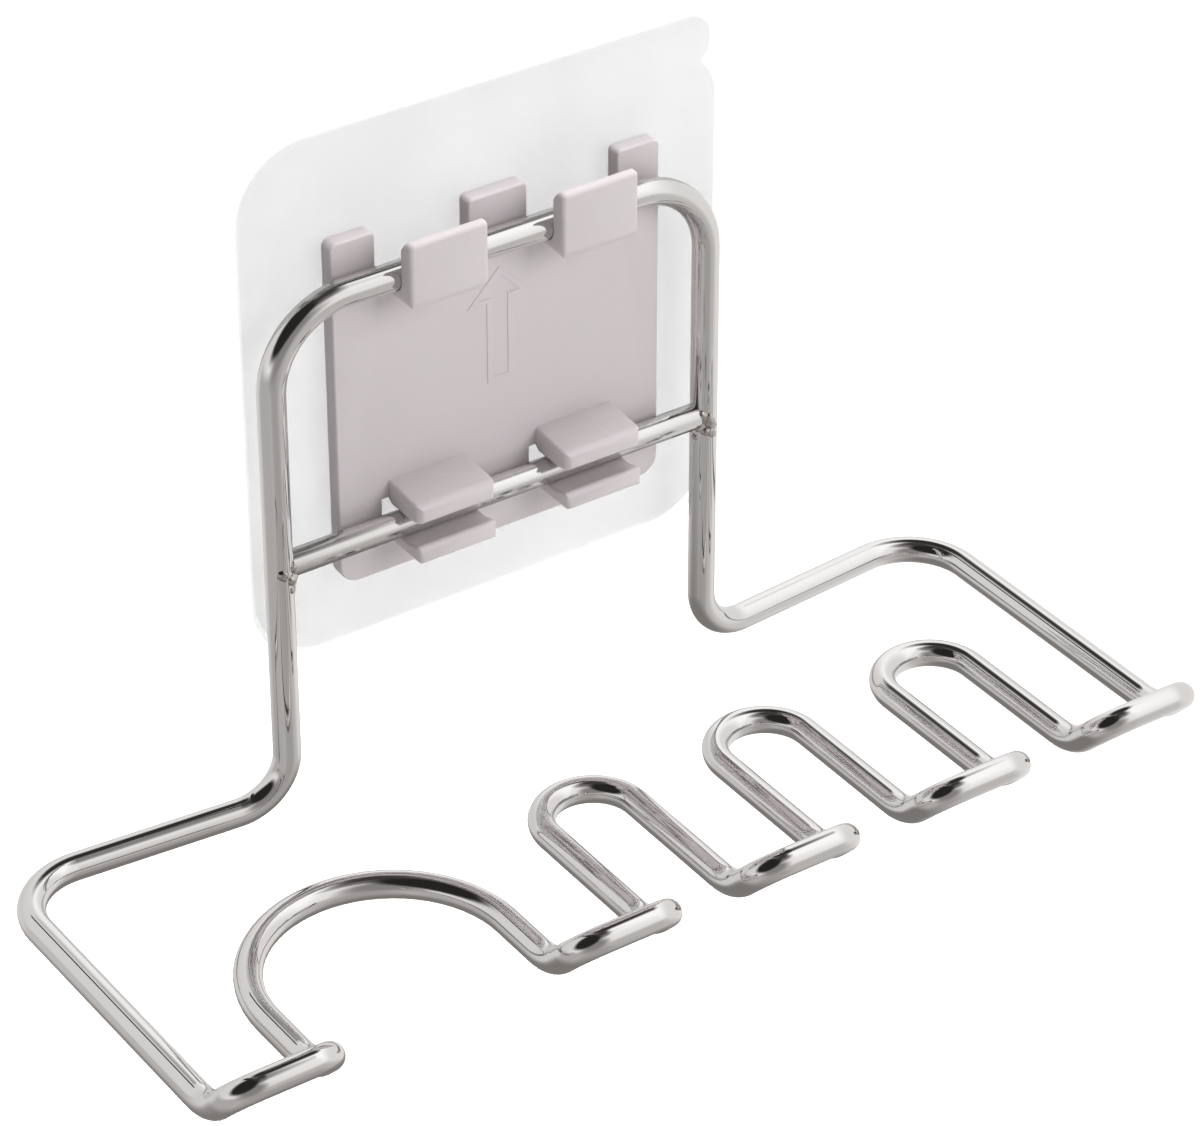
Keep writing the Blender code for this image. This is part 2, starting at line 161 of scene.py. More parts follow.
class HolderWire(bpy.types.PropertyGroup):
    diameter: length_property("Wire diameter", "Diameter of the bent wire", 0.004)
    hanger_spacing: length_property("Hanger spacing", "Between the two uprights' centre lines", 0.071)
    top_bend: length_property("Top bend", "Bend radius between the top bar and an upright", 0.012)
    lower_bend: length_property("Lower bend", "Bend radius at the foot of an upright", 0.008)
    back_bend: length_property("Back bend", "Bend radius at a back corner of the shelf", 0.010)
    shelf_depth: length_property("Shelf depth", "From the uprights to the front bends", 0.0525)
    lip_width: length_property("Lip width", "Between the two legs of a front lip", 0.0155)
    cup_gap: length_property("Cup gap", "Clear width of the cup gap", 0.0337)
    cup_depth: length_property("Cup depth", "From the front bends to the back of the cup gap", 0.0303)
    slot_gap: length_property("Brush gap", "Clear width of a brush gap", 0.0104)
    slot_depth: length_property("Brush gap depth", "From the front bends to the back of a brush gap", 0.031)
    slot_count: bpy.props.IntProperty(
        name="Brush gaps", description="Number of brush gaps", default=3, min=1,
    )
    tip_length: length_property("Tip length", "Length of the part of a lip that is bent up", 0.00975)
    tip_angle: bpy.props.FloatProperty(
        name="Tip angle", description="How far a lip is bent up", default=math.radians(46), subtype="ANGLE",
    )
    front_bend: length_property("Front bend", "Bend radius where a lip turns up", 0.0084)
    tip_bend: length_property("Tip bend", "Bend radius at a lip's front corners", 0.0043)
    colour: colour_property("Wire colour", "Colour of the plated steel", "#DFDDDC")


class HolderWeld(bpy.types.PropertyGroup):
    drop: length_property("Weld drop", "From the cross bar's middle down to the weld's", 0.0012)
    height: length_property("Weld height", "Height of the row of lumps on the upright", 0.0040)
    sink: length_property("Lump sink", "How deep a lump's middle lies in the upright", 0.0003)
    lump: length_property("Lump size", "Radius of a typical lump of melted metal", 0.0008)
    lump_count: bpy.props.IntProperty(
        name="Lumps", description="Number of lumps in a weld", default=11, min=3,
    )
    turn: bpy.props.FloatProperty(
        name="Weld turn", description="From the upright's front towards the cross bar",
        default=math.radians(30), subtype="ANGLE",
    )
    spread: bpy.props.FloatProperty(
        name="Weld spread", description="How far the lumps run round the upright to each side",
        default=math.radians(48), subtype="ANGLE",
    )
    grain: length_property("Weld grain", "Size of the roughness that the heat leaves", 0.0009)
    rough: length_property("Weld roughness", "Height of that roughness", 0.0004)
    colour: colour_property("Weld colour", "Colour of the plated weld", "#DAD7D5")


class HolderPlate(bpy.types.PropertyGroup):
    thickness: length_property("Plate thickness", "Thickness of the flat plate", 0.0025)
    corner: length_property("Plate corner", "Radius of the plate's corners", 0.003)
    edge: length_property("Edge rounding", "Radius of the moulded edges", 0.0003)
    lug_rise: length_property("Lug rise", "How far the lugs stand above the top bar's middle", 0.006)
    side_lug: length_property("Side lug width", "Width of a lug at the side", 0.007)
    lug_corner: length_property("Lug corner", "Radius of the outer lugs' corners", 0.0012)
    notch_corner: length_property("Notch corner", "Radius of the corners behind a hook", 0.0008)
    fit: length_property("Fit", "Play between the wire and the hooks and jaws", 0.0001)
    core: length_property("Core clearance", "Side gap between a jaw and the slot behind it", 0.0012)
    hook_width: length_property("Hook width", "Width of a hook", 0.0125)
    hook_wall: length_property("Hook wall", "Thickness of a hook's wall", 0.0024)
    hook_rise: length_property("Hook rise", "How far a hook stands above the top bar's middle", 0.0066)
    hook_lead_in: length_property("Hook lead-in", "Height of the slope inside a hook's mouth", 0.0016)
    hook_tip: length_property("Hook tip", "Thickness of a hook's wall at its top", 0.0012)
    hook_round: length_property("Hook bottom", "Radius of a hook's bottom edge, seen from the side", 0.0028)
    hook_foot: length_property("Hook foot", "Radius of a hook's lower corners, seen from the front", 0.0026)
    hook_top: length_property("Hook top", "Radius of a hook's upper corners, seen from the front", 0.0008)
    hook_edge: length_property("Hook edge", "Radius of a hook's soft front edges", 0.0007)
    jaw_edge: length_property("Jaw edge", "Radius of a jaw's soft side edges", 0.00045)
    jaw_corner: length_property("Jaw corner", "Radius of a jaw's front corners, seen from above", 0.0016)
    jaw_width: length_property("Jaw width", "Width of a jaw", 0.0128)
    jaw_thickness: length_property("Jaw thickness", "Thickness of an upper jaw at the plate", 0.0028)
    upper_reach: length_property("Upper jaw reach", "How far an upper jaw stands out", 0.0079)
    upper_slope: length_property("Upper jaw slope", "Rise of an upper jaw's underside to the plate", 0.0011)
    upper_brow: length_property("Upper jaw brow", "Radius between an upper jaw's top and its nose", 0.0015)
    upper_nose: length_property("Upper jaw nose", "Radius under an upper jaw's nose", 0.0008)
    upper_nose_rise: length_property("Nose rise", "From an upper jaw's grip up to its nose", 0.0005)
    upper_nose_height: length_property("Nose height", "Height of an upper jaw's nose", 0.0026)
    upper_lead_in: length_property("Upper lead-in", "Depth of the slope under an upper jaw's nose", 0.0021)
    lower_reach: length_property("Lower jaw reach", "How far a lower jaw stands out", 0.0083)
    lower_thickness: length_property("Lower jaw thickness", "Thickness of a lower jaw", 0.0020)
    lower_lead_in: length_property("Lower lead-in", "Depth of the sloping front of a lower jaw", 0.0008)
    lower_lip: length_property("Lower lip", "Height of the lip in front of the cross bar", 0.0007)
    lower_ramp: length_property("Lower ramp", "Depth of the rise from under the bar to the lip", 0.0028)
    lower_nose: length_property("Lower jaw nose", "Radius of a lower jaw's lip", 0.0007)
    arrow_length: length_property("Arrow length", "Length of the raised arrow", 0.018)
    arrow_head: length_property("Arrow head", "Length of the arrow's head", 0.0053)
    arrow_width: length_property("Arrow width", "Width of the arrow's head", 0.0105)
    arrow_shaft: length_property("Arrow shaft", "Width of the arrow's shaft", 0.0042)
    arrow_line: length_property("Arrow line", "Width of the arrow's raised line", 0.0008)
    arrow_gap: length_property("Arrow gap", "From the hooks' undersides down to the arrow", 0.0012)
    arrow_relief: length_property("Arrow relief", "Height of the arrow's raised line", 0.00010)
    colour: colour_property("Plate colour", "Colour of the moulded plastic", "#CFC8CA")


class HolderPad(bpy.types.PropertyGroup):
    corner: length_property("Pad corner", "Radius of the pad's corners", 0.0115)
    tab_height: length_property("Tab height", "From the top edge to the notch under the finger tab", 0.008)
    tab_notch: length_property("Tab notch", "Depth of the notch under the finger tab", 0.0021)
    tab_inset: length_property("Tab inset", "How far the tab's tip stands in from the pad's side", 0.0009)
    tab_tip: length_property("Tab tip", "Radius of the tab's tip", 0.004)
    gel_inset: length_property("Gel inset", "How far the gel stops short of the pad's edge", 0.0009)
    film_colour: colour_property("Film colour", "Colour of the clear film", "#BEBEBE")
    gel_colour: colour_property("Gel colour", "Colour of the clear gel", "#BEBEBE")
    liner_colour: colour_property("Liner colour", "Colour of the peel-off liner", "#BEBEBE")


class HolderStage(bpy.types.PropertyGroup):
    azimuth: bpy.props.FloatProperty(
        name="Azimuth", description="Camera's turn round the holder",
        default=math.radians(-34.43), subtype="ANGLE",
    )
    elevation: bpy.props.FloatProperty(
        name="Elevation", description="Camera's height angle",
        default=math.radians(33.51), subtype="ANGLE",
    )
    distance: length_property("Camera distance", "From the camera to the point that it aims at", 0.6424)
    lens: bpy.props.FloatProperty(name="Lens", description="Focal length", default=142.6, unit="CAMERA")
    aim: bpy.props.FloatVectorProperty(
        name="Aim", description="Point that the camera aims at", default=(-0.0041, -0.0350, -0.0168),
        subtype="TRANSLATION", size=3, precision=5,
    )
    floor_drop: length_property("Floor drop", "From the holder's lowest point down to the floor", 0.12)
    tent_radius: length_property("Tent radius", "Radius of the studio tent that the metal mirrors", 0.6)
    ambient: bpy.props.FloatProperty(
        name="Ambient", description="Even light on the object", default=0.34, min=0,
    )


# Modelling helpers


def deselect_all():
    for item in bpy.context.selected_objects:
        item.select_set(False)


def make_active(item):
    deselect_all()
    item.select_set(True)
    bpy.context.view_layer.objects.active = item


def rounded_path(corners):
    """Round each (point, radius) corner of a closed path; neighbouring bends share their run."""
    count = len(corners)
    points = [Vector(point) for point, radius in corners]
    runs = [(points[(i + 1) % count] - points[i]).length for i in range(count)]
    half_turns = []
    wanted = []
    for i, (point, radius) in enumerate(corners):
        half_turn = (points[i] - points[i - 1]).angle(points[(i + 1) % count] - points[i]) / 2
        half_turns.append(half_turn)
        wanted.append(radius * math.tan(half_turn))

    path = []
    for i in range(count):
        tangent = wanted[i]
        for run, other in ((runs[i - 1], wanted[i - 1]), (runs[i], wanted[(i + 1) % count])):
            if wanted[i] + other > run:
                tangent = min(tangent, wanted[i] * run / (wanted[i] + other))
        path += corner_arc(points[i - 1], points[i], points[(i + 1) % count], tangent, half_turns[i])
    return [point for i, point in enumerate(path) if (point - path[i - 1]).length > MERGE_DISTANCE]


def rounded_box(middle, width, low, high, low_corner, high_corner):
    """A flat box outline with its own corner radius at its low and at its high side."""
    left, right = middle - width / 2, middle + width / 2
    return rounded_path([
        ((left, low, 0), low_corner), ((right, low, 0), low_corner),
        ((right, high, 0), high_corner), ((left, high, 0), high_corner),
    ])


def corner_arc(before, corner, after, tangent, half_turn):
    """Points of the arc that rounds one corner, from one tangent point to the other."""
    if tangent <= MERGE_DISTANCE or half_turn <= MERGE_DISTANCE:
        return [corner]
    back = (before - corner).normalized()
    ahead = (after - corner).normalized()
    centre = corner + (back + ahead).normalized() * (tangent / math.sin(half_turn))
    spoke = corner + back * tangent - centre
    side = -back * spoke.length
    steps = max(1, math.ceil(2 * half_turn / ARC_STEP))
    angles = [2 * half_turn * step / steps for step in range(steps + 1)]
    return [centre + spoke * math.cos(angle) + side * math.sin(angle) for angle in angles]


def inset_loop(points, distance):
    """A flat counter-clockwise loop moved inwards by the distance, with mitred corners."""
    inner = []
    for i, point in enumerate(points):
        before = (point - points[i - 1]).normalized()
        after = (points[(i + 1) % len(points)] - point).normalized()
        normal = Vector((-before.y, before.x, 0))
        mitre = (normal + Vector((-after.y, after.x, 0))).normalized()
        inner.append(point + mitre * (distance / mitre.dot(normal)))
    return inner


def curve_piece(name, loops, flat):
    """A curve object of closed poly splines, made with the add-curve operator."""
    deselect_all()
    bpy.ops.curve.primitive_bezier_circle_add()
    item = bpy.context.object
    item.name = name
    curve = item.data
    curve.splines.clear()
    curve.dimensions = "2D" if flat else "3D"
    for loop in loops:
        spline = curve.splines.new("POLY")
        spline.points.add(len(loop) - 1)
        for spline_point, point in zip(spline.points, loop):
            spline_point.co = (*point, 1.0)
        spline.use_cyclic_u = True
        spline.use_smooth = True
    return item


def to_mesh(item, place=Matrix.Identity(4)):
    """Turn a curve into a closed mesh and put its place into the mesh."""
    make_active(item)
    bpy.ops.object.convert(target="MESH")
    item.data.transform(place)
    bpy.ops.object.mode_set(mode="EDIT")
    bpy.ops.mesh.select_all(action="SELECT")
    bpy.ops.mesh.remove_doubles(threshold=MERGE_DISTANCE)
    bpy.ops.mesh.normals_make_consistent(inside=False)
    bpy.ops.object.mode_set(mode="OBJECT")
    return item


def moulded_slab(name, loops, thickness, edge, place):
    """A slab of a filled outline whose edges are rounded by the edge radius."""
    slab = curve_piece(name, loops, flat=True)
    slab.data.fill_mode = "BOTH"
    slab.data.extrude = thickness / 2 - edge
    slab.data.bevel_depth = edge
    slab.data.bevel_resolution = EDGE_SEGMENTS
    slab.data.offset = -edge
    return to_mesh(slab, place)


def front_place(back, thickness):
    """From a drawing in (x, z) on the wall to its place, with its back face at y = back."""
    return Matrix.Translation((0, back - thickness / 2, 0)) @ Matrix.Rotation(math.pi / 2, 4, "X")


def side_place(middle_x):
    """From a drawing in (y, z) seen from the side to its place, centred on middle_x."""
    turn = Matrix(((0, 0, 1, 0), (1, 0, 0, 0), (0, 1, 0, 0), (0, 0, 0, 1)))
    return Matrix.Translation((middle_x, 0, 0)) @ turn


def combine(target, tool, operation):
    """Apply a Boolean with the tool, then remove the tool."""
    make_active(target)
    modifier = target.modifiers.new(tool.name, "BOOLEAN")
    modifier.operation = operation
    modifier.solver = "EXACT"
    modifier.object = tool
    bpy.ops.object.modifier_apply(modifier=modifier.name)
    if not target.data.polygons:
        raise RuntimeError(f"{tool.name} left nothing of {target.name}")
    bpy.data.objects.remove(tool)


def finish_piece(item, material, body, nodes):
    """Shade, paint and place a finished piece in the frame."""
    make_active(item)
    bpy.ops.object.shade_smooth_by_angle(angle=SHARP_ANGLE)
    item.data.materials.clear()
    item.data.materials.append(material)
    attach(item, body)
    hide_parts(*nodes)


# Materials


def new_material(name):
    material = bpy.data.materials.new(name)
    material.use_nodes = True
    tree = material.node_tree
    return material, tree, tree.nodes["Principled BSDF"]


def add_node(tree, kind, settings=None, inputs=None):
    """Add a node with its settings and inputs."""
    node = tree.nodes.new(kind)
    for name, value in (settings or {}).items():
        setattr(node, name, value)
    set_inputs(tree, node, inputs or {})
    return node


def set_inputs(tree, node, inputs):
    """Fill a node's inputs, each with a value or with the socket that feeds it."""
    for name, value in inputs.items():
        if isinstance(value, bpy.types.NodeSocket):
            tree.links.new(value, node.inputs[name])
        else:
            node.inputs[name].default_value = value


def per_feature(millimetres):
    """Noise scale for features of that real size, on Object coordinates in metres."""
    return 1 / (millimetres * MILLIMETRE)


def plated_wire_material(colour):
    """Nickel-chrome plate on drawn steel wire: mirror bright, with faint waves left by the draw."""
    material, tree, shader = new_material("bright_nickel_chrome_plate")
    place = add_node(tree, "ShaderNodeTexCoord").outputs["Object"]
    waves = add_node(tree, "ShaderNodeTexNoise", None, {
        "Vector": place, "Scale": per_feature(9), "Detail": 1.0, "Roughness": 0.4,
    }).outputs["Fac"]
    haze = add_node(tree, "ShaderNodeTexNoise", None, {
        "Vector": place, "Scale": per_feature(4), "Detail": 2.0, "Roughness": 0.5,
    }).outputs["Fac"]
    roughness = add_node(tree, "ShaderNodeMapRange", None, {
        "Value": haze, "From Min": 0.3, "From Max": 0.75, "To Min": 0.035, "To Max": 0.075,
    }).outputs["Result"]
    bump = add_node(tree, "ShaderNodeBump", None, {
        "Height": waves, "Strength": 0.2, "Distance": 0.00015,
    }).outputs["Normal"]
    set_inputs(tree, shader, {
        "Base Color": colour, "Metallic": 1.0, "Roughness": roughness, "Normal": bump,
    })
    return material


def weld_material(colour):
    """Plated resistance weld: melted, lumpy metal with small dark pits and a warm heat tint."""
    material, tree, shader = new_material("plated_steel_weld")
    place = add_node(tree, "ShaderNodeTexCoord").outputs["Object"]
    pits = add_node(tree, "ShaderNodeTexVoronoi", None, {
        "Vector": place, "Scale": per_feature(1.1),
    }).outputs["Distance"]
    grain = add_node(tree, "ShaderNodeTexNoise", None, {
        "Vector": place, "Scale": per_feature(0.6), "Detail": 3.0,
    }).outputs["Fac"]
    tint = add_node(tree, "ShaderNodeMix", {"data_type": "RGBA"}, {
        "Factor": grain, "A": colour, "B": linear("#A39A92"),
    }).outputs["Result"]
    bump = add_node(tree, "ShaderNodeBump", None, {
        "Height": pits, "Strength": 0.5, "Distance": 0.0003,
    }).outputs["Normal"]
    set_inputs(tree, shader, {
        "Base Color": tint, "Metallic": 1.0, "Roughness": 0.16, "Normal": bump,
    })
    return material


def moulded_plastic_material(colour):
    """Injection-moulded ABS with a spark-eroded texture: matt, slightly cloudy at thin edges.

    It is coarsely stippled where the stipple attribute is one. The real texture is finer than
    a pixel, so it is drawn as coarse as it needs to show.
    """
    material, tree, shader = new_material("textured_moulded_abs")
    place = add_node(tree, "ShaderNodeTexCoord").outputs["Object"]
    texture = add_node(tree, "ShaderNodeTexNoise", None, {
        "Vector": place, "Scale": per_feature(0.35), "Detail": 4.0, "Roughness": 0.65,
    }).outputs["Fac"]
    flow = add_node(tree, "ShaderNodeTexNoise", None, {
        "Vector": place, "Scale": per_feature(18), "Detail": 2.0,
    }).outputs["Fac"]
    shade = add_node(tree, "ShaderNodeMix", {"data_type": "RGBA"}, {
        "Factor": flow, "A": colour, "B": linear("#CCC4C5"),
    }).outputs["Result"]
    roughness = add_node(tree, "ShaderNodeMapRange", None, {
        "Value": texture, "From Min": 0.3, "From Max": 0.7, "To Min": 0.42, "To Max": 0.58,
    }).outputs["Result"]
    bump = add_node(tree, "ShaderNodeBump", None, {
        "Height": texture, "Strength": 0.25, "Distance": 0.00004,
    }).outputs["Normal"]
    bubbles = add_node(tree, "ShaderNodeTexVoronoi", None, {
        "Vector": place, "Scale": per_feature(0.9),
    }).outputs["Distance"]
    stipple = add_node(tree, "ShaderNodeMath", {"operation": "MULTIPLY"}, {
        0: bubbles, 1: add_node(tree, "ShaderNodeAttribute", {"attribute_name": "stipple"}).outputs["Fac"],
    }).outputs["Value"]
    bump = add_node(tree, "ShaderNodeBump", None, {
        "Height": stipple, "Strength": 0.5, "Distance": 0.00012, "Normal": bump,
    }).outputs["Normal"]
    set_inputs(tree, shader, {
        "Base Color": shade, "Roughness": roughness, "Normal": bump,
        "Subsurface Weight": 0.15, "Subsurface Radius": (0.0012, 0.0009, 0.0009), "Subsurface Scale": 1.0,
    })
    return material


def clear_sheet_material(name, colour, cover, roughness):
    """Thin clear plastic sheet: mostly see-through, a little milky, with faint ripples."""
    material, tree, shader = new_material(name)
    place = add_node(tree, "ShaderNodeTexCoord").outputs["Object"]
    ripples = add_node(tree, "ShaderNodeTexNoise", None, {
        "Vector": place, "Scale": per_feature(22), "Detail": 1.0,
    }).outputs["Fac"]
    bump = add_node(tree, "ShaderNodeBump", None, {
        "Height": ripples, "Strength": 0.2, "Distance": 0.00005,
    }).outputs["Normal"]
    haze = add_node(tree, "ShaderNodeMapRange", None, {
        "Value": ripples, "From Min": 0.3, "From Max": 0.7,
        "To Min": roughness, "To Max": roughness + 0.1,
    }).outputs["Result"]
    milk = add_node(tree, "ShaderNodeMapRange", None, {
        "Value": ripples, "From Min": 0.3, "From Max": 0.7,
        "To Min": cover - 0.008, "To Max": cover + 0.008,
    }).outputs["Result"]
    set_inputs(tree, shader, {
        "Base Color": colour, "Roughness": haze, "Normal": bump, "Alpha": milk,
    })
    return material


# Wire rack


def rack_corners(wire):
    """The rack's closed centre line, from the frame's own box: hanger, arms and lips."""
    radius = wire.diameter / 2
    hanger = wire.hanger_spacing / 2
    shelf = (WIRE_HIGH.x - WIRE_LOW.x) / 2 - radius
    middle = HINGE.x
    level = WIRE_LOW.z + radius
    back = WIRE_HIGH.y - radius
    front = HINGE.y - wire.shelf_depth
    tip_y = front - wire.tip_length * math.cos(wire.tip_angle)
    tip_z = level + wire.tip_length * math.sin(wire.tip_angle)
    corners = [
        ((middle + hanger, HINGE.y, HINGE.z), wire.top_bend),
        ((middle - hanger, HINGE.y, HINGE.z), wire.top_bend),
        ((middle - hanger, HINGE.y, level), wire.lower_bend),
        ((middle - shelf, back, level), wire.back_bend),
    ]
    left = middle - shelf
    for lip in range(wire.slot_count + 2):
        right = left + wire.lip_width
        corners += [
            ((left, front, level), wire.front_bend),
            ((left, tip_y, tip_z), wire.tip_bend),
            ((right, tip_y, tip_z), wire.tip_bend),
            ((right, front, level), wire.front_bend),
        ]
        if lip == wire.slot_count + 1:
            break
        gap, depth = (wire.cup_gap, wire.cup_depth) if lip == 0 else (wire.slot_gap, wire.slot_depth)
        pitch = gap + wire.diameter
        left = right + pitch
        corners += [
            ((right, front + depth, level), pitch / 2),
            ((left, front + depth, level), pitch / 2),
        ]
    corners += [
        ((middle + shelf, back, level), wire.back_bend),
        ((middle + hanger, HINGE.y, level), wire.lower_bend),
    ]
    return corners


class HOLDER_OT_rack_wire(bpy.types.Operator):
    """Bend one closed wire into the hanger, the arms, the cup gap and the brush gaps"""

    bl_idname = "holder.rack_wire"
    bl_label = "Bent rack wire"

    def execute(self, context):
        wire = context.scene.holder_wire
        rack = curve_piece("bent_rack_wire", [rounded_path(rack_corners(wire))], flat=False)
        rack.data.bevel_depth = wire.diameter / 2
        rack.data.bevel_resolution = WIRE_SEGMENTS
        to_mesh(rack)
        finish_piece(rack, plated_wire_material(wire.colour), RACK_BODY, ["rack_wire"])
        return {"FINISHED"}


# Cross bar and welds


class HOLDER_OT_cross_bar(bpy.types.Operator):
    """Draw the straight bar that snaps into the jaws"""

    bl_idname = "holder.cross_bar"
    bl_label = "Cross bar"

    def execute(self, context):
        wire = context.scene.holder_wire
        radius = (BAR_HIGH.z - BAR_LOW.z) / 2
        deselect_all()
        bpy.ops.mesh.primitive_cylinder_add(
            vertices=BAR_SIDES, radius=radius, depth=BAR_HIGH.x - BAR_LOW.x + wire.diameter / 2,
            location=(BAR_LOW + BAR_HIGH) / 2, rotation=(0, math.pi / 2, 0),
        )
        bar = bpy.context.object
        bar.name = "straight_cross_bar"
        bpy.ops.object.transform_apply(location=True, rotation=True, scale=True)
        bpy.ops.object.mode_set(mode="EDIT")
        bpy.ops.mesh.select_all(action="SELECT")
        bpy.ops.mesh.bevel(offset=BAR_END_ROUNDING, segments=EDGE_SEGMENTS, affect="EDGES")
        bpy.ops.object.mode_set(mode="OBJECT")
        finish_piece(bar, plated_wire_material(wire.colour), RACK_BODY, ["cross_bar"])
        return {"FINISHED"}


def lumpy_weld(name, weld, wire, sign, seed):
    """Melted lumps on the upright where the cross bar meets it, fused and roughened."""
    random = Random(seed)
    bar_z = (BAR_LOW.z + BAR_HIGH.z) / 2
    axis = Vector((HINGE.x + sign * wire.hanger_spacing / 2, HINGE.y, bar_z - weld.drop))
    reach = wire.diameter / 2 - weld.sink
    deselect_all()
    lumps = []
    for lump in range(weld.lump_count):
        height = weld.height * ((lump + random.uniform(0.2, 0.8)) / weld.lump_count - 0.5)
        turn = -sign * (weld.turn + weld.spread * random.uniform(-1, 1))
        offset = Vector((reach * math.sin(turn), -reach * math.cos(turn), height))
        bpy.ops.mesh.primitive_ico_sphere_add(
            subdivisions=3, radius=weld.lump * random.uniform(0.7, 1.2), location=axis + offset,
        )
        lumps.append(bpy.context.object)
    for lump in lumps:
        lump.select_set(True)
    bpy.ops.object.join()
    bead = bpy.context.object
    bead.name = name
    bpy.ops.object.transform_apply(location=True, rotation=True, scale=True)
    bead.data.remesh_voxel_size = weld.grain / VOXELS_PER_GRAIN
    bpy.ops.object.voxel_remesh()
    melt = bead.modifiers.new("melt", "SMOOTH")
    melt.iterations = MELT_PASSES
    clouds = bpy.data.textures.new("weld_grain", "CLOUDS")
    clouds.noise_scale = weld.grain
    grain = bead.modifiers.new("grain", "DISPLACE")
    grain.texture = clouds
    grain.texture_coords = "LOCAL"
    grain.strength = weld.rough
    grain.mid_level = 0.5
    for modifier in ("melt", "grain"):
        bpy.ops.object.modifier_apply(modifier=modifier)
    return bead


class HOLDER_OT_welds(bpy.types.Operator):
    """Melt a lumpy weld round each end of the cross bar"""

    bl_idname = "holder.welds"
    bl_label = "Welds"

    def execute(self, context):
        wire = context.scene.holder_wire
        weld = context.scene.holder_weld
        material = weld_material(weld.colour)
        for side, sign, seed in (("left", -1, 3), ("right", 1, 8)):
            bead = lumpy_weld(f"lumpy_weld_{side}", weld, wire, sign, seed)
            finish_piece(bead, material, RACK_BODY, [f"weld_bead_{side}"])
        return {"FINISHED"}


# Clip plate


def mirrored(right_side):
    """A closed outline from its right side's (x, z, radius) corners, listed upwards."""
    return right_side + [(-x, z, radius) for x, z, radius in reversed(right_side)]


def plate_outline(plate, notch_inner, notch_outer):
    """Square plate with three lugs along its top and a notch behind each hook."""
    half = PLATE_HIGH.x
    top = HINGE.z + plate.lug_rise
    sill = HINGE.z - BEHIND_HOOK_SILL
    notch = plate.notch_corner
    corners = mirrored([
        (half, PLATE_LOW.z, plate.corner),
        (half, top, plate.lug_corner),
        (notch_outer, top, notch),
        (notch_outer, sill, notch),
        (notch_inner, sill, notch),
        (notch_inner, top, notch),
    ])
    return rounded_path([((x, z, 0), radius) for x, z, radius in corners])


def hook_profile(plate, seat, face):
    """J section that cups the top bar from below and in front; flared open at the top."""
    outer = seat + plate.hook_wall
    root = face + ROOT_DEPTH
    return [
        (root, -outer, 0),
        (-outer, -outer, plate.hook_round),
        (-outer, plate.hook_rise, plate.edge),
        (-outer + plate.hook_tip, plate.hook_rise, plate.edge),
        (-seat, plate.hook_rise - plate.hook_lead_in, plate.edge),
        (-seat, -seat, seat),
        (root, -seat, 0),
    ]


def upper_jaw_profile(plate, seat, face):
    """Jaw over the cross bar: its top slopes down to a nose, whose underside leads the bar in."""
    root = face + ROOT_DEPTH
    nose = face - plate.upper_reach
    under = seat + plate.upper_slope
    nose_level = seat + plate.upper_nose_rise
    return [
        (root, under, 0),
        (root, under + plate.jaw_thickness, 0),
        (nose, nose_level + plate.upper_nose_height, plate.upper_brow),
        (nose, nose_level, plate.upper_nose),
        (nose + plate.upper_lead_in, seat, 2 * plate.edge),
        (seat, seat, 0),
    ]


def lower_jaw_profile(plate, seat, face):
    """Shelf under the cross bar with a low lip in front of the bar and a sloping front."""
    root = face + ROOT_DEPTH
    nose = face - plate.lower_reach
    lip = nose + plate.lower_lead_in
    return [
        (root, -seat - plate.lower_thickness, 0),
        (root, -seat, 0),
        (lip + plate.lower_ramp, -seat, 0),
        (lip, -seat + plate.lower_lip, plate.lower_nose),
        (nose, -seat - plate.lower_thickness, plate.lower_nose),
    ]


def hook_piece(plate, seat, face, middle):
    """A hook: its side profile, cut by a front outline with round corners and soft edges."""
    profile = hook_profile(plate, seat, face)
    hook = moulded_slab(
        "hook", [rounded_path([((y + HINGE.y, z + HINGE.z, 0), r) for y, z, r in profile])],
        HOOK_BLANK * plate.hook_width, 0, side_place(middle),
    )
    outer = seat + plate.hook_wall - SKIM
    outline = rounded_box(
        middle, plate.hook_width, HINGE.z - outer, HINGE.z + plate.hook_rise - SKIM,
        plate.hook_foot, plate.hook_top,
    )
    front = HINGE.y - outer
    combine(hook, moulded_slab(
        "hook_outline", [outline], CUT_DEPTH, plate.hook_edge, front_place(front + CUT_DEPTH, CUT_DEPTH),
    ), "INTERSECT")
    return hook


def jaw_piece(name, plate, profile, level, middle):
    """A jaw: its side profile with soft edges, its front corners rounded as seen from above."""
    jaw = moulded_slab(
        name, [rounded_path([((y + HINGE.y, z + level, 0), r) for y, z, r in profile])],
        plate.jaw_width, plate.jaw_edge, side_place(middle),
    )
    front = HINGE.y + min(y for y, z, r in profile) - SKIM
    back = HINGE.y + max(y for y, z, r in profile) + SKIM
    outline = rounded_box(middle, plate.jaw_width + 2 * SKIM, front, back, plate.jaw_corner, 0)
    combine(jaw, moulded_slab(
        "jaw_outline", [outline], CUT_DEPTH, 0, Matrix.Translation((0, 0, level)),
    ), "INTERSECT")
    return jaw


def arrow_loops(plate, tip):
    """The two loops of an outlined arrow that points up, below and between the hooks."""
    shoulder = tip - plate.arrow_head
    foot = tip - plate.arrow_length
    half_shaft = plate.arrow_shaft / 2
    half_head = plate.arrow_width / 2
    outer = [Vector((x, z, 0)) for x, z in (
        (-half_shaft, foot), (half_shaft, foot), (half_shaft, shoulder), (half_head, shoulder),
        (0, tip), (-half_head, shoulder), (-half_shaft, shoulder),
    )]
    return [outer, inset_loop(outer, plate.arrow_line)]


def hook_middle(plate):
    """How far each hook stands from the plate's middle: its notch ends at the side lug."""
    return PLATE_HIGH.x - plate.side_lug - plate.core - plate.hook_width / 2


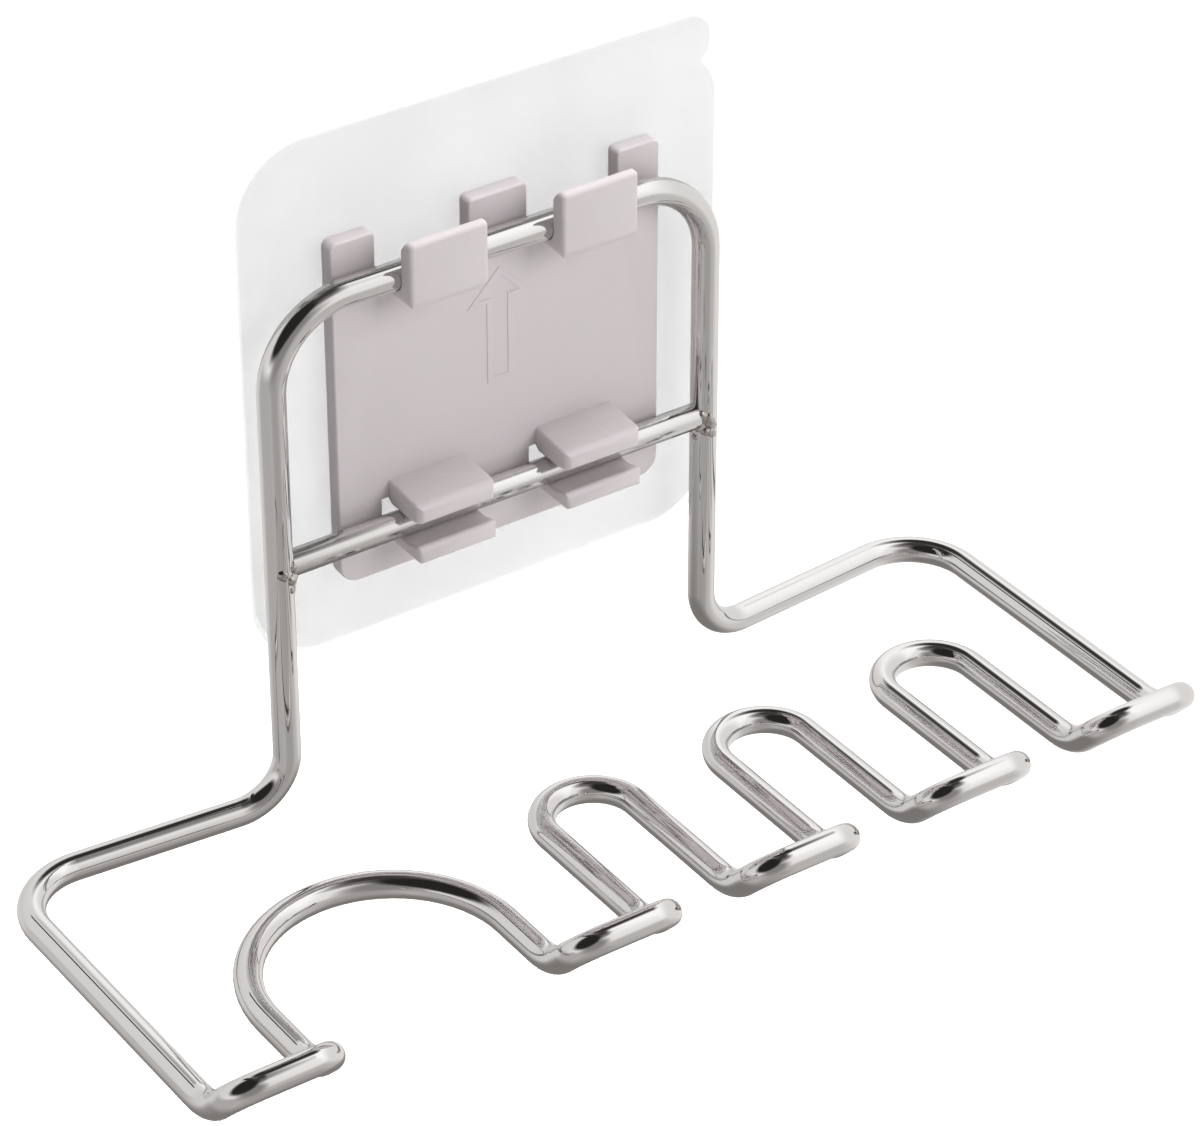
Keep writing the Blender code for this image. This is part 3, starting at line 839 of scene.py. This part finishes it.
def mark_stipple(item, front, level):
    """Mark the upper jaws' tops, which lie before the front and over the level, for the stipple."""
    stipple = item.data.attributes.new("stipple", "FLOAT", "FACE")
    for polygon, mark in zip(item.data.polygons, stipple.data):
        low = min(item.data.vertices[i].co.z for i in polygon.vertices)
        ahead = polygon.center.y < front and level < low and polygon.center.z < 0
        mark.value = 1.0 if ahead and polygon.normal.z > UPWARD else 0.0


class HOLDER_OT_clip_plate(bpy.types.Operator):
    """Mould the plate with its lugs, hooks, jaws and raised arrow"""

    bl_idname = "holder.clip_plate"
    bl_label = "Clip plate"

    def execute(self, context):
        plate = context.scene.holder_plate
        wire = context.scene.holder_wire
        face = PLATE_HIGH.y - plate.thickness
        wire_to_face = face - HINGE.y
        wire_seat = wire.diameter / 2 + plate.fit
        bar_seat = (BAR_HIGH.z - BAR_LOW.z) / 2 + plate.fit
        bar_z = (BAR_LOW.z + BAR_HIGH.z) / 2
        middle = hook_middle(plate)
        half_notch = plate.hook_width / 2 + plate.core
        outline = plate_outline(plate, middle - half_notch, middle + half_notch)
        slab = moulded_slab(
            "moulded_clip_plate", [outline], plate.thickness, plate.edge,
            front_place(PLATE_HIGH.y, plate.thickness),
        )
        slot_low = bar_z - bar_seat - plate.lower_thickness / 2
        slot_high = bar_z + bar_seat + plate.upper_slope
        for side in (-1, 1):
            deselect_all()
            bpy.ops.mesh.primitive_cube_add(
                size=1, location=(side * middle, face + plate.thickness / 2, (slot_low + slot_high) / 2),
                scale=(plate.jaw_width + 2 * plate.core, 2 * plate.thickness, slot_high - slot_low),
            )
            bpy.ops.object.transform_apply(location=True, rotation=True, scale=True)
            combine(slab, bpy.context.object, "DIFFERENCE")
            combine(slab, hook_piece(plate, wire_seat, wire_to_face, side * middle), "UNION")
            for name, profile in (
                ("upper_jaw", upper_jaw_profile(plate, bar_seat, wire_to_face)),
                ("lower_jaw", lower_jaw_profile(plate, bar_seat, wire_to_face)),
            ):
                combine(slab, jaw_piece(name, plate, profile, bar_z, side * middle), "UNION")
        tip = HINGE.z - wire_seat - plate.hook_wall - plate.arrow_gap
        relief = 2 * plate.arrow_relief
        arrow = moulded_slab(
            "arrow", arrow_loops(plate, tip), relief, plate.arrow_relief / 2,
            front_place(face + plate.arrow_relief, relief),
        )
        combine(slab, arrow, "UNION")
        mark_stipple(slab, face - MILLIMETRE, bar_z + bar_seat + plate.upper_slope)
        finish_piece(
            slab, moulded_plastic_material(plate.colour), WALL_BODY, ["clip_plate"],
        )
        return {"FINISHED"}


# Stick-on pad


def pad_outline(pad):
    """Rounded pad; its top right corner is a finger tab with a notch below it."""
    low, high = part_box("backing_film")
    notch = high.z - pad.tab_height
    tab_side = high.x - pad.tab_inset
    return rounded_path([
        ((low.x, low.z, 0), pad.corner),
        ((high.x, low.z, 0), pad.corner),
        ((high.x, notch - pad.tab_notch, 0), pad.corner),
        ((high.x - pad.tab_notch, notch, 0), 0),
        ((tab_side, notch + pad.tab_notch - pad.tab_inset, 0), pad.tab_tip),
        ((tab_side, high.z, 0), pad.tab_tip),
        ((low.x, high.z, 0), pad.corner),
    ])


class HOLDER_OT_pad(bpy.types.Operator):
    """Lay the clear pad: backing film, gel adhesive and peel-off liner"""

    bl_idname = "holder.pad"
    bl_label = "Stick-on pad"

    def execute(self, context):
        pad = context.scene.holder_pad
        outline = pad_outline(pad)
        coated = inset_loop(outline, pad.gel_inset)
        film = clear_sheet_material("clear_pvc_film", pad.film_colour, 0.22, 0.22)
        gel = clear_sheet_material("cast_acrylic_gel", pad.gel_colour, 0.09, 0.12)
        liner = clear_sheet_material("siliconed_pet_liner", pad.liner_colour, 0.11, 0.32)
        for name, node, loop, material in (
            ("clear_backing_film", "backing_film", outline, film),
            ("clear_gel_layer", "adhesive_layer", coated, gel),
            ("peel_off_liner", "release_liner", outline, liner),
        ):
            low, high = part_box(node)
            thickness = high.y - low.y
            sheet = moulded_slab(name, [loop], thickness, thickness / 4, front_place(high.y, thickness))
            finish_piece(sheet, material, WALL_BODY, [node])
        return {"FINISHED"}


# Stage


class HOLDER_OT_stage(bpy.types.Operator):
    """Set up the camera, the floor, the mirrored tent and card, the lights and the backdrop"""

    bl_idname = "holder.stage"
    bl_label = "Stage"

    def execute(self, context):
        stage = context.scene.holder_stage
        add_camera(stage)
        floor_level = CAD_BOUNDS[0].z - stage.floor_drop
        add_floor(floor_level)
        add_tent(floor_level + MILLIMETRE, stage.tent_radius)
        add_flag()
        add_lights()
        add_world(stage.ambient)
        context.scene.view_settings.view_transform = "Standard"
        return {"FINISHED"}


def add_camera(stage):
    camera = bpy.data.objects.new("camera", bpy.data.cameras.new("camera"))
    bpy.context.scene.collection.objects.link(camera)
    side, rise = stage.azimuth, stage.elevation
    back = Vector((math.sin(side) * math.cos(rise), -math.cos(side) * math.cos(rise), math.sin(rise)))
    camera.location = Vector(stage.aim) + back * stage.distance
    camera.rotation_mode = "QUATERNION"
    camera.rotation_quaternion = (-back).to_track_quat("-Z", "Y")
    camera.data.lens = stage.lens
    camera.data.clip_start = stage.distance / CLIP_RANGE
    camera.data.clip_end = stage.distance * CLIP_RANGE
    bpy.context.scene.camera = camera


def seen_directly(tree):
    """One for the camera, for mirror-like surfaces and through clear ones; nought for soft light."""
    path = add_node(tree, "ShaderNodeLightPath")
    seen = path.outputs["Is Camera Ray"]
    for output in ("Is Glossy Ray", "Is Transmission Ray"):
        seen = add_node(tree, "ShaderNodeMath", {"operation": "MAXIMUM"}, {
            0: seen, 1: path.outputs[output],
        }).outputs["Value"]
    return seen


def add_floor(level):
    """White sheet under the holder, with its soft shadow; it fades into the backdrop far out."""
    deselect_all()
    bpy.ops.mesh.primitive_plane_add(size=FLOOR_SIZE, location=(0, 0, level))
    floor = bpy.context.object
    floor.name = "floor"
    material, tree, shader = new_material("white_paper_sweep")
    place = add_node(tree, "ShaderNodeTexCoord").outputs["Object"]
    distance = add_node(tree, "ShaderNodeVectorMath", {"operation": "LENGTH"}, {
        "Vector": place,
    }).outputs["Value"]
    fade = add_node(tree, "ShaderNodeMapRange", None, {
        "Value": distance, "From Min": FLOOR_FADE[0], "From Max": FLOOR_FADE[1],
        "To Min": FLOOR_GLOW[0], "To Max": FLOOR_GLOW[1],
    }).outputs["Result"]
    lift = add_node(tree, "ShaderNodeMath", {"operation": "MULTIPLY"}, {
        0: seen_directly(tree), 1: fade,
    }).outputs["Value"]
    set_inputs(tree, shader, {
        "Base Color": linear("#F2F2F2"), "Roughness": 0.9,
        "Emission Color": (1, 1, 1, 1), "Emission Strength": lift,
    })
    floor.data.materials.append(material)


def toward(azimuth, elevation):
    """Direction from the holder: azimuth 0 is in front of it and a quarter turn is to its right."""
    side, rise = math.radians(azimuth), math.radians(elevation)
    return Vector((math.sin(side) * math.cos(rise), -math.cos(side) * math.cos(rise), math.sin(rise)))


def show_only_mirrored(item):
    """Hide a stage piece from everything but reflections in the metal and plastic."""
    for ray in ("camera", "diffuse", "transmission", "shadow"):
        setattr(item, f"visible_{ray}", False)


def add_tent(level, radius):
    """Light tent with a flat floor, seen only in reflections: it draws the streaks on polished wire."""
    deselect_all()
    bpy.ops.mesh.primitive_uv_sphere_add(segments=64, ring_count=32, radius=radius)
    tent = bpy.context.object
    tent.name = "studio_tent"
    bpy.ops.object.mode_set(mode="EDIT")
    bpy.ops.mesh.select_all(action="SELECT")
    bpy.ops.mesh.bisect(plane_co=(0, 0, level), plane_no=(0, 0, 1), use_fill=True, clear_inner=True)
    bpy.ops.object.mode_set(mode="OBJECT")
    show_only_mirrored(tent)

    material, tree, shader = new_material("white_tent_cloth")
    tree.nodes.remove(shader)
    place = add_node(tree, "ShaderNodeTexCoord").outputs["Object"]
    heading = add_node(tree, "ShaderNodeVectorMath", {"operation": "NORMALIZE"}, {
        "Vector": place,
    }).outputs["Vector"]
    shade = linear(TENT_CLOTH)
    for azimuth, elevation, inner, outer, code in TENT_PATCHES:
        nearness = add_node(tree, "ShaderNodeVectorMath", {"operation": "DOT_PRODUCT"}, {
            0: heading, 1: toward(azimuth, elevation),
        }).outputs["Value"]
        cover = add_node(tree, "ShaderNodeMapRange", {"interpolation_type": "SMOOTHSTEP"}, {
            "Value": nearness,
            "From Min": math.cos(math.radians(outer)), "From Max": math.cos(math.radians(inner)),
        }).outputs["Result"]
        mix = add_node(tree, "ShaderNodeMix", {"data_type": "RGBA"}, {"Factor": cover})
        set_inputs(tree, mix, {6: shade, 7: linear(code)})
        shade = mix.outputs[2]
    glow = add_node(tree, "ShaderNodeEmission", None, {
        "Color": shade, "Strength": TENT_GLOW,
    }).outputs["Emission"]
    tree.links.new(glow, tree.nodes["Material Output"].inputs["Surface"])
    tent.data.materials.append(material)


def add_flag():
    """Long black card beyond the holder, seen only in reflections: the dark line on the legs."""
    deselect_all()
    spot = FLAG_DISTANCE * toward(*FLAG_HEADING)
    bpy.ops.mesh.primitive_cube_add(size=1, scale=FLAG_SIZE)
    flag = bpy.context.object
    flag.name = "black_flag"
    bpy.ops.object.transform_apply(location=False, rotation=False, scale=True)
    flag.data.transform(Matrix.Translation(spot) @ Matrix.Rotation(math.atan2(spot.x, spot.z), 4, "Y"))
    show_only_mirrored(flag)
    material, tree, shader = new_material("black_velvet_flag")
    set_inputs(tree, shader, {"Base Color": linear("#1C1B1A"), "Roughness": 0.9})
    flag.data.materials.append(material)


def add_lights():
    """A big soft top light and a softer one from the front right."""
    for name, azimuth, elevation, distance, size, power in LAMPS:
        spot = distance * toward(azimuth, elevation)
        lamp = bpy.data.objects.new(name, bpy.data.lights.new(name, "AREA"))
        lamp.data.shape = "SQUARE"
        lamp.data.size = size
        lamp.data.energy = power
        lamp.location = spot
        lamp.rotation_euler = spot.to_track_quat("Z", "Y").to_euler()
        lamp.visible_camera = False
        lamp.visible_glossy = False
        bpy.context.scene.collection.objects.link(lamp)


def add_world(ambient):
    """White backdrop to the eye and in reflections; a plain even light on the object."""
    world = bpy.data.worlds.new("white_tent")
    world.use_nodes = True
    tree = world.node_tree
    strength = add_node(tree, "ShaderNodeMapRange", None, {
        "Value": seen_directly(tree), "To Min": ambient, "To Max": 1.0,
    }).outputs["Result"]
    set_inputs(tree, tree.nodes["Background"], {"Color": (1, 1, 1, 1), "Strength": strength})
    bpy.context.scene.world = world


class HOLDER_PT_panel(bpy.types.Panel):
    """The holder's pieces, in the order in which they are built"""

    bl_idname = "HOLDER_PT_panel"
    bl_label = "Toothbrush Holder"
    bl_space_type = "VIEW_3D"
    bl_region_type = "UI"
    bl_category = "Holder"

    def draw(self, context):
        for operator in OPERATORS:
            self.layout.operator(operator.bl_idname)


OPERATORS = (
    HOLDER_OT_rack_wire,
    HOLDER_OT_cross_bar,
    HOLDER_OT_welds,
    HOLDER_OT_clip_plate,
    HOLDER_OT_pad,
    HOLDER_OT_stage,
)
SETTINGS = {
    "holder_wire": HolderWire,
    "holder_weld": HolderWeld,
    "holder_plate": HolderPlate,
    "holder_pad": HolderPad,
    "holder_stage": HolderStage,
}


def register():
    for group in SETTINGS.values():
        bpy.utils.register_class(group)
    for cls in (*OPERATORS, HOLDER_PT_panel):
        bpy.utils.register_class(cls)
    for name, group in SETTINGS.items():
        setattr(bpy.types.Scene, name, bpy.props.PointerProperty(type=group))


def unregister():
    for name in SETTINGS:
        delattr(bpy.types.Scene, name)
    for cls in (HOLDER_PT_panel, *reversed(OPERATORS), *SETTINGS.values()):
        bpy.utils.unregister_class(cls)


def main():
    register()
    bpy.ops.holder.rack_wire()
    bpy.ops.holder.cross_bar()
    bpy.ops.holder.welds()
    bpy.ops.holder.clip_plate()
    bpy.ops.holder.pad()
    bpy.ops.holder.stage()


if __name__ == "__main__":
    main()
